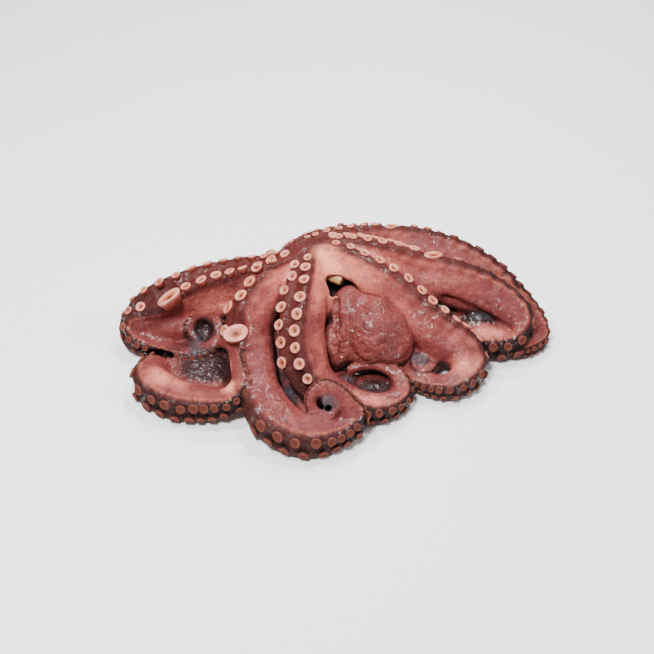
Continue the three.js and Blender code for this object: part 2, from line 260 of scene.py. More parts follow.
class Arm:
    """Centre line of an arm at every millimetre, with its girth and the ways its sides face."""

    def __init__(self, name, sucker_size, sucker_pitch):
        rows = np.array(ARMS[name], float)
        rows[:, :3] += SHIFT
        ends = np.vstack([2 * rows[0] - rows[1], rows, 2 * rows[-1] - rows[-2]])
        t = np.linspace(0, 1, 24, endpoint=False)[:, None]
        spans = [
            0.5 * (2 * b + (c - a) * t + (2 * a - 5 * b + 4 * c - d) * t**2 + (3 * b - 3 * c + d - a) * t**3)
            for a, b, c, d in zip(ends, ends[1:], ends[2:], ends[3:])
        ]
        fine = np.vstack([*spans, rows[-1:]])
        gone = np.concatenate([[0], np.cumsum(np.linalg.norm(np.diff(fine[:, :3], axis=0), axis=1))])
        self.name = name
        self.length = gone[-1]
        self.distance = np.linspace(0, self.length, int(self.length) + 1)
        columns = [np.interp(self.distance, gone, fine[:, i]) for i in range(5)]
        self.place = np.stack(columns[:3], 1)
        self.depth, self.roll = columns[3], np.radians(columns[4])
        self.along = unit(np.gradient(self.place, axis=0))
        right = unit(np.cross(self.along, [0, 0, 1]))
        over = np.cross(right, self.along)
        c, s = np.cos(self.roll)[:, None], np.sin(self.roll)[:, None]
        self.oral = c * over + s * right
        self.side = np.cross(self.along, self.oral)
        turn = np.gradient(self.along, axis=0)
        self.bend = unit(turn) * np.linalg.norm(turn, axis=1, keepdims=True) * self.depth[:, None]
        pitch = self.depth * sucker_size * sucker_pitch
        self.phase = np.concatenate([[0], np.cumsum(1.0 / pitch[:-1])])

    def at(self, distance):
        """Row number nearest a distance along the arm."""
        last = len(self.distance) - 1
        return int(np.clip(round(distance / self.length * last), 0, last))

    def skin(self, k, angle):
        """Point of the arm's surface at row k and an angle from the middle of its sucker side."""
        c, s = math.cos(angle), math.sin(angle)
        coiled = float(smooth_step(0.28, 0.5, k / len(self.distance)))
        square = 2.0 + 1.1 * coiled
        turn = math.degrees(math.acos(max(-1.0, min(1.0, c))))
        out = min(1.0, 0.87 / max(c, 0.1))
        out *= 1 - ARM_HABIT[self.name][2] * (1 - coiled) * math.exp(-(((turn - 92) / 32) ** 2))
        out *= 1 + 0.06 * math.exp(-(((turn - 38) / 11) ** 2))
        if c > 0:
            out *= (c**square + abs(s) ** square) ** (-1 / square)
        return self.place[k] + self.depth[k] * out * (c * self.oral[k] + ARM_WIDTH * s * self.side[k])


def mesh_object(name, bm):
    mesh = bpy.data.meshes.new(name)
    bm.to_mesh(mesh)
    bm.free()
    piece = bpy.data.objects.new(name, mesh)
    bpy.context.scene.collection.objects.link(piece)
    return piece


def finish_piece(piece, material):
    """Smooth faces, one material, riding on the octopus in place of its solid."""
    piece.data.shade_smooth()
    piece.data.materials.clear()
    piece.data.materials.append(material)
    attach(piece, "root")
    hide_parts("octopus")
    return piece


def put_attribute(piece, name, values):
    layer = piece.data.attributes.get(name) or piece.data.attributes.new(name, "FLOAT", "POINT")
    layer.data.foreach_set("value", np.asarray(values, np.float32))


def coordinates(mesh):
    co = np.empty(len(mesh.vertices) * 3)
    mesh.vertices.foreach_get("co", co)
    return co.reshape(-1, 3)


def normals(mesh):
    found = np.empty(len(mesh.vertices) * 3, np.float32)
    mesh.vertex_normals.foreach_get("vector", found)
    return found.reshape(-1, 3).astype(float)


def set_coordinates(mesh, co):
    mesh.vertices.foreach_set("co", co.ravel())
    mesh.update()


def lumps(points, size, seed=0.0, octaves=2):
    """Soft noise from -1 to 1 at points in millimetres, its bumps about size across."""
    shift = Vector((seed * 7.3, seed * 3.1, seed * 5.7))
    scale = 1.0 / size
    return np.array([noise.fractal(Vector(p) * scale + shift, 1.0, 2.0, octaves) for p in points])


def ridges(points, size, seed=0.0):
    """Noise folded at zero, so it has narrow creases, 0 in a crease and towards 1 between."""
    return np.clip(np.abs(lumps(points, size, seed, 1)) * 2.2, 0, 1)


# ---------------------------------------------------------------- shapes


def add_arm(bm, arm, sides, step):
    """Rings of an arm, each pushed out from the last, closed at both ends."""
    stations = list(range(0, len(arm.distance), step))
    if stations[-1] != len(arm.distance) - 1:
        stations.append(len(arm.distance) - 1)
    angles = [2 * math.pi * i / sides for i in range(sides)]
    ring = bmesh.ops.create_circle(bm, segments=sides, radius=1.0)["verts"]
    edges = list({e for v in ring for e in v.link_edges})
    place_ring(ring, [arm.skin(stations[0], a) for a in angles])
    bmesh.ops.contextual_create(bm, geom=edges)
    for k in stations[1:]:
        ring, edges = push_ring(bm, ring, edges, [arm.skin(k, a) for a in angles])
    k = len(arm.distance) - 1
    for out, size in ((0.45, 0.8), (0.75, 0.45)):
        middle = arm.place[k] + arm.along[k] * arm.depth[k] * out
        points = [middle + (arm.skin(k, a) - arm.place[k]) * size for a in angles]
        ring, edges = push_ring(bm, ring, edges, points)
    bmesh.ops.contextual_create(bm, geom=edges)


def place_ring(ring, points):
    for vert, point in zip(ring, points):
        vert.co = Vector(point) * MM


def push_ring(bm, ring, edges, points):
    made = bmesh.ops.extrude_edge_only(bm, edges=edges)["geom"]
    fresh = {v for v in made if isinstance(v, bmesh.types.BMVert)}
    after = []
    for vert in ring:
        after.append(next(e.other_vert(vert) for e in vert.link_edges if e.other_vert(vert) in fresh))
    place_ring(after, points)
    return after, [e for e in made if isinstance(e, bmesh.types.BMEdge) and all(v in fresh for v in e.verts)]


def add_mass(bm, mass, segments=48, rings=32):
    """A rounded mass of flesh."""
    centre, size = mass
    at = Matrix.Translation((Vector(centre) + Vector(SHIFT)) * MM)
    scale = Matrix.Diagonal((*(Vector(size) * MM), 1.0))
    bmesh.ops.create_uvsphere(bm, u_segments=segments, v_segments=rings, radius=1.0, matrix=at @ scale)


def add_web(bm, first, second, reach_a, reach_b, cut, sag, thickness):
    """A sheet hung between two arms, with a sag and a hollowed free edge."""
    grid = bmesh.ops.create_grid(bm, x_segments=20, y_segments=40, size=0.5)["verts"]
    for vert in grid:
        across, out = vert.co.x + 0.5, vert.co.y + 0.5
        belly = 4 * across * (1 - across)
        out *= 1 - cut * belly
        a = first.place[first.at(out * reach_a)]
        b = second.place[second.at(out * reach_b)]
        point = a + (b - a) * across
        point[2] -= sag * belly * math.sin(min(out * 1.4, 1) * math.pi * 0.5) + thickness * 0.5
        vert.co = Vector(point) * MM
    faces = list({f for v in grid for f in v.link_faces})
    bmesh.ops.recalc_face_normals(bm, faces=faces)
    bmesh.ops.solidify(bm, geom=faces, thickness=thickness * MM)


def fused(piece, voxel, hole=None):
    """The piece's overlapping bodies as one skin."""
    for step in ("fused", "hollowed", "evened") if hole else ("fused",):
        if step == "hollowed":
            cut = piece.modifiers.new(step, "BOOLEAN")
            cut.operation, cut.solver, cut.object = "DIFFERENCE", "EXACT", hole
            continue
        grain = piece.modifiers.new(step, "REMESH")
        grain.mode, grain.voxel_size, grain.use_smooth_shade = "VOXEL", voxel, True
    depsgraph = bpy.context.evaluated_depsgraph_get()
    mesh = bpy.data.meshes.new_from_object(piece.evaluated_get(depsgraph))
    piece.modifiers.clear()
    old = [piece.data]
    piece.data = mesh
    if hole:
        old.append(hole.data)
        bpy.data.objects.remove(hole)
    for mesh in old:
        bpy.data.meshes.remove(mesh)
    return piece


def soften(mesh, times, strength=0.5):
    """Moves every vertex towards the middle of its neighbours."""
    bm = bmesh.new()
    bm.from_mesh(mesh)
    for _ in range(times):
        bmesh.ops.smooth_vert(
            bm, verts=bm.verts, factor=strength, use_axis_x=True, use_axis_y=True, use_axis_z=True
        )
    bm.to_mesh(mesh)
    bm.free()


def spread(mesh, values, times):
    """Averages a value over neighbouring vertices."""
    ends = np.empty(len(mesh.edges) * 2, np.int32)
    mesh.edges.foreach_get("vertices", ends)
    a, b = ends.reshape(-1, 2).T
    count = np.bincount(a, minlength=len(values)) + np.bincount(b, minlength=len(values))
    for _ in range(times):
        total = np.bincount(a, values[b], len(values)) + np.bincount(b, values[a], len(values))
        values = 0.5 * values + 0.5 * total / np.maximum(count, 1)
    return values


class Chart:
    """Where each point of the skin lies on the arms: arm, row, angle round it and closeness."""

    def __init__(self, arms, points):
        lines = np.vstack([arm.place for arm in arms])
        depth = np.concatenate([arm.depth for arm in arms])
        owner = np.concatenate([np.full(len(arm.distance), i) for i, arm in enumerate(arms)])
        row = np.concatenate([np.arange(len(arm.distance)) for arm in arms])
        pick = np.empty(len(points), int)
        near = np.empty(len(points))
        lines_sq = (lines**2).sum(1)
        for start in range(0, len(points), 3000):
            block = points[start : start + 3000]
            gap = np.sqrt(np.maximum((block**2).sum(1)[:, None] + lines_sq - 2 * block @ lines.T, 0)) / depth
            pick[start : start + 3000] = gap.argmin(1)
            near[start : start + 3000] = gap.min(1)
        self.arm, self.row, self.near = owner[pick], row[pick], near
        stack = {
            key: np.vstack([getattr(arm, key) for arm in arms])[pick] for key in ("oral", "side", "bend")
        }
        self.depth = depth[pick]
        self.distance = np.concatenate([arm.distance for arm in arms])[pick]
        self.reach = np.concatenate([arm.distance / arm.length for arm in arms])[pick]
        self.phase = np.concatenate([arm.phase for arm in arms])[pick]
        offset = points - lines[pick]
        up = (offset * stack["oral"]).sum(1) / self.depth
        out = (offset * stack["side"]).sum(1) / (self.depth * ARM_WIDTH)
        self.angle = np.arctan2(out, up)
        self.inside = (offset * stack["bend"]).sum(1) / self.depth  # over 0 inside a bend
        self.on_arm = smooth_step(1.45, 1.15, near)


# Used to paint shade into the creases of the skin and the mantle.
def hollows(points, facing, tree, rays=10, reach=0.022):
    """How shut in each point is, from 0 in the open to 1 deep in a crease."""
    golden = math.pi * (3 - math.sqrt(5))
    ways = []
    for i in range(rays):
        height = math.sqrt((i + 0.5) / rays)
        flat = math.sqrt(1 - height * height)
        ways.append((math.cos(golden * i) * flat, math.sin(golden * i) * flat, height))
    shut = np.zeros(len(points))
    for i, (point, way) in enumerate(zip(points, facing)):
        up = Vector(way)
        start = Vector(point) + up * 0.0007
        side = up.orthogonal().normalized()
        other = up.cross(side)
        turn = (i * 2.39996) % (2 * math.pi)
        ct, st = math.cos(turn), math.sin(turn)
        a = side * ct + other * st
        b = other * ct - side * st
        total = 0.0
        for x, y, z in ways:
            hit = tree.ray_cast(start, a * x + b * y + up * z, reach)
            if hit[0] is not None:
                total += 1.0 - 0.6 * hit[3] / reach
        shut[i] = total / rays
    return shut


def spots_at(points, spots, core):
    """1 in the core of each spot, 0 well outside them all."""
    found = np.zeros(len(points))
    for centre, size in spots:
        away = np.linalg.norm((points - SHIFT - centre) / size, axis=1)
        found = np.maximum(found, smooth_step(1.25, core, away))
    return found


def press_creases(points):
    """How deep the creases press each point, millimetres. A crease reaches on inwards past its line."""
    inwards = np.array([0, 0.7071, -0.7071])
    deep = np.zeros(len(points))
    for line, wide, depth in CREASES:
        line = np.array(line, float) + SHIFT
        least = np.full(len(points), 1e9)
        for a, b in zip(line, line[1:]):
            t = np.clip(((points - a) @ (b - a)) / ((b - a) @ (b - a)), 0, 1)[:, None]
            gap = points - a - (b - a) * t
            gap -= inwards * (gap @ inwards)[:, None] * 0.75
            least = np.minimum(least, np.linalg.norm(gap, axis=1))
        deep = np.maximum(deep, depth * np.exp(-((least / wide) ** 2)))
    return deep


def sink_wrinkles(mesh, chart):
    """Scallops beside the suckers, the groove between their rows, and folds across tight bends."""
    co = coordinates(mesh)
    mm = co / MM
    facing = normals(mesh)
    size = chart.depth / 20.0
    angle = np.degrees(np.abs(chart.angle))
    half = np.where(chart.angle < 0, 0.0, 0.5)
    beat = np.cos(2 * math.pi * (chart.phase - half))
    flesh = chart.on_arm * size
    coiled = 0.7 + 0.6 * smooth_step(0.3, 0.6, chart.reach)
    out = flesh * bell(angle, 52, 17) * (0.85 * beat - 0.15) * coiled
    out += flesh * (1.1 * bell(angle, 34, 9) - 1.1 * bell(angle, 74, 18))
    out += flesh * bell(angle, 0, 15) * (-1.0 + 0.35 * np.cos(4 * math.pi * chart.phase))
    out += flesh * 0.8 * bell(angle, 60, 7) * smooth_step(0.3, 0.45, chart.reach)
    tight = smooth_step(0.25, 0.8, chart.inside) * chart.on_arm
    fold = np.cos(2 * math.pi * (chart.distance / 4.6 + 0.8 * lumps(mm, 22, 3)))
    out += tight * 0.45 * fold * size
    out += 0.75 * lumps(mm, 26, 1) + 0.3 * lumps(mm, 8, 2)
    out -= 0.35 * (1 - ridges(mm, 13, 5)) ** 4
    stain = spots_at(mm, STAINS_AND_SHADES, 0.45)
    out += stain * (0.9 * lumps(mm, 5, 6, 3) - 0.8 * (1 - ridges(mm, 8, 7)) ** 3)
    out -= press_creases(mm)
    set_coordinates(mesh, co + facing * (out * MM)[:, None])


def rest_flat(mesh):
    """Presses what would go under the surface flat against it."""
    co = coordinates(mesh)
    co[:, 2] = np.maximum(co[:, 2], 0.0)
    set_coordinates(mesh, co)


def arms_of(settings):
    return [Arm(name, settings.sucker_size, settings.sucker_pitch) for name in ARMS]


def row_angle(distance):
    """Half angle between the two rows of suckers."""
    return math.radians(18 + 10 * min(distance / 45.0, 1.0))


# ---------------------------------------------------------------- materials


class Value:
    """An output of a material's nodes. Arithmetic on it adds Math nodes."""

    def __init__(self, paint, socket):
        self.paint, self.socket = paint, socket

    def math(self, operation, *others):
        sockets = {0: self, **dict(enumerate(others, 1))}
        return self.paint.node("ShaderNodeMath", {"operation": operation}, sockets)

    def __add__(self, other):
        return self.math("ADD", other)

    def __sub__(self, other):
        return self.math("SUBTRACT", other)

    def __rsub__(self, other):
        return self.paint.node("ShaderNodeMath", {"operation": "SUBTRACT"}, {0: other, 1: self})

    def __mul__(self, other):
        return self.math("MULTIPLY", other)

    def __pow__(self, other):
        return self.math("POWER", other)

    __radd__ = __add__
    __rmul__ = __mul__

    def clamp(self):
        return self.paint.node("ShaderNodeClamp", {}, {"Value": self})

    def ramp(self, low, high):
        """0 below low, 1 above high, smooth between."""
        settings = {"interpolation_type": "SMOOTHSTEP"}
        sockets = {"Value": self, "From Min": low, "From Max": high}
        return self.paint.node("ShaderNodeMapRange", settings, sockets)


class Paint:
    """A node material, its nodes made one call at a time."""

    def __init__(self, name):
        self.material = bpy.data.materials.new(name)
        self.material.use_nodes = True
        self.nodes = self.material.node_tree.nodes
        self.links = self.material.node_tree.links
        self.shader = self.nodes["Principled BSDF"]

    def node(self, kind, settings, sockets, output=0):
        made = self.nodes.new(kind)
        for key, value in settings.items():
            if key == "stops":
                ramp = made.color_ramp
                while len(ramp.elements) < len(value):
                    ramp.elements.new(0.5)
                for element, (at, colour) in zip(ramp.elements, value):
                    element.position, element.color = at, colour
            else:
                setattr(made, key, value)
        for key, value in sockets.items():
            self.feed(made.inputs[key], value)
        return Value(self, made.outputs[output])

    def feed(self, socket, value):
        if isinstance(value, Value):
            self.links.new(value.socket, socket)
        else:
            socket.default_value = value

    def attribute(self, name):
        return self.node("ShaderNodeAttribute", {"attribute_name": name}, {}, "Fac")

    def place(self, stretch=(1, 1, 1)):
        """Object coordinates, stretched."""
        at = self.node("ShaderNodeTexCoord", {}, {}, "Object")
        return self.node("ShaderNodeMapping", {}, {"Vector": at, "Scale": stretch})

    def noise(self, scale, detail=3.0, rough=0.55, at=None, warp=0.0):
        where = at or self.place()
        sockets = {"Vector": where, "Scale": scale, "Detail": detail, "Roughness": rough, "Distortion": warp}
        return self.node("ShaderNodeTexNoise", {}, sockets)

    def cells(self, scale, at=None, feature="F1"):
        where = at or self.place()
        return self.node("ShaderNodeTexVoronoi", {"feature": feature}, {"Vector": where, "Scale": scale})

    def blend(self, first, second, factor, way="MIX"):
        """Colour going from first to second."""
        settings = {"data_type": "RGBA", "blend_type": way, "clamp_factor": True}
        return self.node("ShaderNodeMix", settings, {0: factor, 6: first, 7: second}, 2)

    def bump(self, height, distance, strength=1.0, normal=None):
        sockets = {"Height": height, "Distance": distance, "Strength": strength}
        if normal is not None:
            sockets["Normal"] = normal
        return self.node("ShaderNodeBump", {}, sockets)

    def finish(self, wet=None, water=None, **sockets):
        """Feeds the shader, names with spaces as underscores; a glossier one shows where it is wet."""
        for key, value in sockets.items():
            self.feed(self.shader.inputs[key.replace("_", " ")], value)
        if wet is not None:
            glossy = self.nodes.new("ShaderNodeBsdfPrincipled")
            for key, value in {**sockets, **water}.items():
                self.feed(glossy.inputs[key.replace("_", " ")], value)
            mix = self.nodes.new("ShaderNodeMixShader")
            self.feed(mix.inputs[0], wet)
            self.links.new(self.shader.outputs[0], mix.inputs[1])
            self.links.new(glossy.outputs[0], mix.inputs[2])
            self.links.new(mix.outputs[0], self.nodes["Material Output"].inputs[0])
        return self.material


def colour(value):
    return (value[0], value[1], value[2], 1.0)


def skin_paint(s):
    """Cooked skin: salmon flanks, dark red between the suckers, painted black-purple shade in the creases, wet
    places.
    """
    p = Paint("cooked_skin")
    oral, reach, near = p.attribute("oral"), p.attribute("reach"), p.attribute("near")
    hollow, pale, film = p.attribute("hollow"), p.attribute("pale"), p.attribute("film")
    edge, soaked = p.attribute("edge"), p.attribute("wet")
    broad, mid, fine = p.noise(26, 3), p.noise(85, 4, 0.6), p.noise(420, 4, 0.7)
    grain = p.noise(1100, 2, 0.6)
    # Painted light: the flanks go less red and paler towards the crown at the top and at the warm places
    # (near), over random redder and paler patches.
    base = p.blend(colour(s.flank), colour(s.flank_red), (broad + reach * 0.4 - near * 0.35).ramp(0.38, 0.72))
    base = p.blend(base, colour(s.flank_pale_and_painted_light), (near * 0.8 + (mid - 0.5) * 0.8).clamp())
    base = p.blend(base, colour(s.bloom), (p.noise(34, 4, 0.65).ramp(0.5, 0.68) * (0.35 + 0.3 * reach)))
    # Between the suckers, darker along to the coiled tips: partly their own darker skin, partly painted shade
    # of the coil undersides.
    between = p.blend(colour(s.oral), colour(s.oral_dark_and_shade), (reach * 2.2 - 0.55 + (broad - 0.5)).clamp())
    base = p.blend(base, between, (oral * (0.75 + 0.5 * mid)).clamp())
    base = p.blend(base, colour(s.edge), (edge * (mid * 2.0 - 0.4)).clamp())
    base = p.blend(base, colour(s.pale), (pale * (mid * 2.0 - 0.25)).clamp())
    # Real juice stain, and painted black-purple shade in deep gaps and hollows.
    stained_and_shaded = (p.attribute("stain") * (0.5 + 1.0 * mid) + (broad - 0.5) * 0.3).ramp(0.1, 0.9)
    base = p.blend(base, colour(s.stain), stained_and_shaded)
    # Painted shade: the crease colour darkens the skin where it is shut in (hollow).
    shut = (hollow * 2.3 - 0.5 + (mid - 0.5) * 0.6) * (1 - stained_and_shaded * 0.6)
    base = p.blend(base, colour(s.crease), shut.clamp() * (1 - film * 0.6))
    # Painted grey-blue reflection and shade over deep places.
    base = p.blend(base, colour(s.film), (film * (0.35 + 0.8 * mid)).clamp())
    base = p.blend(base, colour(s.flank_red), ((fine * 0.5 + grain * 0.5).ramp(0.48, 0.62) * 0.5), "MULTIPLY")
    wet = (p.noise(23, 4, 0.65) + stained_and_shaded * 0.2 + film * 0.3 + soaked * 0.25).ramp(0.5, 0.6)
    ripple = p.noise(230, 3, 0.5, warp=0.4)
    glints = (p.noise(300, 2, 0.6, warp=0.8) + (ripple - 0.5) * 0.4).ramp(0.5, 0.6)
    height = ripple * (0.8 + 0.8 * soaked + 0.4 * stained_and_shaded) + fine * 0.25 + grain * 0.12 + mid * 0.8
    return p.finish(
        wet=((wet * (1 - oral * reach * 0.8) * 1.2 + 0.16) * glints).clamp(),
        water={"Roughness": 0.16, "Specular_IOR_Level": 0.7},
        Base_Color=base,
        Roughness=0.5 + 0.14 * mid + oral * reach * 0.3,
        Normal=p.bump(height, 0.002, 0.62),
        Specular_IOR_Level=0.2,
        Subsurface_Weight=0.12,
        Subsurface_Radius=(0.006, 0.0025, 0.0015),
        Subsurface_Scale=1.0,
    )


def mantle_paint(s):
    """Brick-red mantle, finely grained and very wet."""
    p = Paint("mantle_skin")
    hollow = p.attribute("hollow")
    broad, mid, fine = p.noise(40, 3), p.noise(130, 4, 0.65), p.noise(560, 3, 0.65)
    grain = p.cells(520)
    base = p.blend(colour(s.mantle), colour(s.mantle_dark), (broad * 0.7 + mid * 0.3).ramp(0.4, 0.62))
    base = p.blend(base, colour(s.mantle_light), (grain.ramp(0.25, 0.7) * 0.4 * mid))
    # Painted shade in the creases and where the skin shuts the mantle in.
    base = p.blend(base, colour(s.crease), ((hollow * 1.9 - 0.5 + (mid - 0.5) * 0.5).clamp()))
    ripple = p.noise(260, 3, 0.55, warp=0.5)
    glints = (p.noise(340, 2, 0.6, warp=0.9) + (ripple - 0.5) * 0.4).ramp(0.49, 0.58)
    height = ripple * 0.9 + fine * 0.2 + (1 - grain) * 0.25 + mid * 0.8
    return p.finish(
        wet=(((broad * 0.5 + mid * 0.5).ramp(0.44, 0.56) + 0.15) * glints).clamp(),
        water={"Roughness": 0.15, "Specular_IOR_Level": 0.8},
        Base_Color=base,
        Roughness=0.46 + 0.14 * mid,
        Normal=p.bump(height, 0.0018, 0.6),
        Specular_IOR_Level=0.16,
        Subsurface_Weight=0.1,
        Subsurface_Radius=(0.005, 0.002, 0.0012),
        Subsurface_Scale=1.0,
    )


def sucker_paint(s):
    """Pale rim, orange cup and brown heart, darker on the suckers of the coiled tips, partly their own colour
    and partly painted shade of the coil undersides.
    """
    p = Paint("sucker_flesh")
    heart, dim = p.attribute("heart"), p.attribute("dim")
    mid, fine = p.noise(160, 3, 0.6), p.noise(600, 3, 0.6)
    stalk = p.blend(colour(s.sucker_stalk), colour(s.oral), mid)
    rim = p.blend(colour(s.sucker_rim), colour(s.sucker_blush), mid.ramp(0.4, 0.7))
    base = p.blend(stalk, rim, heart.ramp(0.26, 0.36))
    base = p.blend(base, colour(s.sucker_cup), (heart + (mid - 0.5) * 0.15).ramp(0.6, 0.74))
    base = p.blend(base, colour(s.sucker_heart), heart.ramp(0.8, 0.95))
    # Coiled tips: the suckers' own darker colour with painted shade of the coil undersides.
    dark = p.blend(colour(s.tip_rim_and_shade), colour(s.tip_sucker_and_shade), heart.ramp(0.46, 0.6))
    dark = p.blend(dark, colour(s.oral), heart.ramp(0.85, 1.05))
    dark = p.blend(colour(s.oral_dark_and_shade), dark, heart.ramp(0.1, 0.3))
    base = p.blend(base, dark, dim)
    return p.finish(
        Base_Color=base,
        Roughness=0.4 + 0.15 * mid + 0.3 * dim,
        Normal=p.bump(fine, 0.0008, 0.5),
        Specular_IOR_Level=0.35,
        Subsurface_Weight=0.15,
        Subsurface_Radius=(0.004, 0.002, 0.0012),
        Subsurface_Scale=1.0,
    )


def siphon_paint(s):
    """Yellowish breathing tube, with painted shade inside its mouth."""
    p = Paint("siphon_flesh")
    mid = p.noise(220, 3, 0.6)
    base = p.blend(colour(s.siphon), colour(s.sucker_cup), mid.ramp(0.45, 0.7))
    # Painted shade inside the mouth of the tube.
    base = p.blend(base, colour(s.crease), p.attribute("heart").ramp(0.7, 1.0))
    return p.finish(Base_Color=base, Roughness=0.35 + 0.1 * mid, Normal=p.bump(mid, 0.001, 0.4))


def floor_paint():
    p = Paint("pale_floor")
    tint = p.blend((0.92, 0.92, 0.92, 1), (0.95, 0.95, 0.95, 1), p.noise(3, 2))
    return p.finish(Base_Color=tint, Roughness=0.9)


# ---------------------------------------------------------------- settings


def size_setting(name, text, default, low, high, unit="LENGTH"):
    return bpy.props.FloatProperty(name=name, description=text, default=default, min=low, max=high, unit=unit)


def share_setting(name, text, default, low, high):
    return bpy.props.FloatProperty(
        name=name, description=text, default=default, min=low, max=high, subtype="FACTOR"
    )


def colour_setting(name, text, default):
    return bpy.props.FloatVectorProperty(
        name=name, description=text, default=default, size=3, min=0, max=1, subtype="COLOR"
    )


class OctopusShape(bpy.types.PropertyGroup):
    voxel: size_setting("Skin grain", "Size of the skin's faces", 0.0016, 0.0008, 0.006)
    web_thickness: size_setting("Web thickness", "Thickness of the webs between arms", 0.0048, 0.002, 0.01)
    sucker_size: share_setting(
        "Sucker size", "Rim radius of a sucker over the arm's half depth", 0.27, 0.1, 0.5
    )
    sucker_pitch: share_setting(
        "Sucker pitch", "Distance between suckers over the rim radius", 2.35, 2.0, 4.0
    )


class OctopusColours(bpy.types.PropertyGroup):
    flank: colour_setting("Flank", "Smooth sides of the arms", (0.33, 0.068, 0.055))
    # Partly random paler patches, partly painted light towards the crown at the top and at the warm places.
    flank_red: colour_setting("Red flank", "Redder patches of the sides", (0.15, 0.026, 0.025))
    flank_pale_and_painted_light: colour_setting("Light flank", "Paler patches of the sides", (0.74, 0.21, 0.15))
    oral: colour_setting("Sucker side", "Skin between the suckers", (0.075, 0.011, 0.009))
    # Partly the tips' own darker skin, partly painted shade of the coil undersides.
    oral_dark_and_shade: colour_setting(
        "Dark sucker side", "Skin between the suckers of the tips", (0.012, 0.002, 0.002)
    )
    pale: colour_setting("Pale flesh", "Cream flesh at the crown", (1.0, 0.34, 0.22))
    # Painted shade: black-purple laid into creases and shut-in places by how shut in they are.
    crease: colour_setting("Crease", "Wet black-purple skin in the creases", (0.012, 0.005, 0.007))
    mantle: colour_setting("Mantle", "Brick red of the mantle", (0.15, 0.025, 0.023))
    mantle_dark: colour_setting("Dark mantle", "Darker patches of the mantle", (0.078, 0.013, 0.015))
    mantle_light: colour_setting("Mantle grain", "Lighter grain of the mantle", (0.36, 0.11, 0.085))
    edge: colour_setting("Edge", "Light scalloped edge beside the suckers of the coils", (0.42, 0.12, 0.065))
    bloom: colour_setting("Bloom", "Purple-grey tinge of the skin", (0.13, 0.025, 0.03))
    # Painted grey-blue reflection and shade over deep places.
    film: colour_setting("Film", "Grey-blue film over deep places", (0.045, 0.045, 0.055))
    # Real juice stain, and painted black-purple shade in deep gaps and hollows.
    stain: colour_setting("Stain", "Black-purple flesh inside the coils", (0.026, 0.007, 0.008))
    sucker_rim: colour_setting("Sucker rim", "Pale rim of a sucker", (0.64, 0.274, 0.2))
    sucker_blush: colour_setting("Sucker blush", "Pinker parts of the rims", (0.425, 0.12, 0.078))
    sucker_cup: colour_setting("Sucker cup", "Orange inside of a cup", (0.4, 0.095, 0.04))
    sucker_heart: colour_setting("Sucker heart", "Brown middle of a cup", (0.091, 0.018, 0.008))
    sucker_stalk: colour_setting("Sucker stalk", "Side of a sucker", (0.3, 0.06, 0.035))
    # Partly the tips' own darker suckers, partly painted shade of the coil undersides.
    tip_sucker_and_shade: colour_setting("Tip sucker", "Suckers of the coiled tips", (0.09, 0.015, 0.007))
    tip_rim_and_shade: colour_setting("Tip sucker rim", "Rims of those suckers", (0.14, 0.03, 0.017))
    siphon: colour_setting("Siphon", "Yellowish breathing tube", (0.6, 0.33, 0.14))


# ---------------------------------------------------------------- pieces


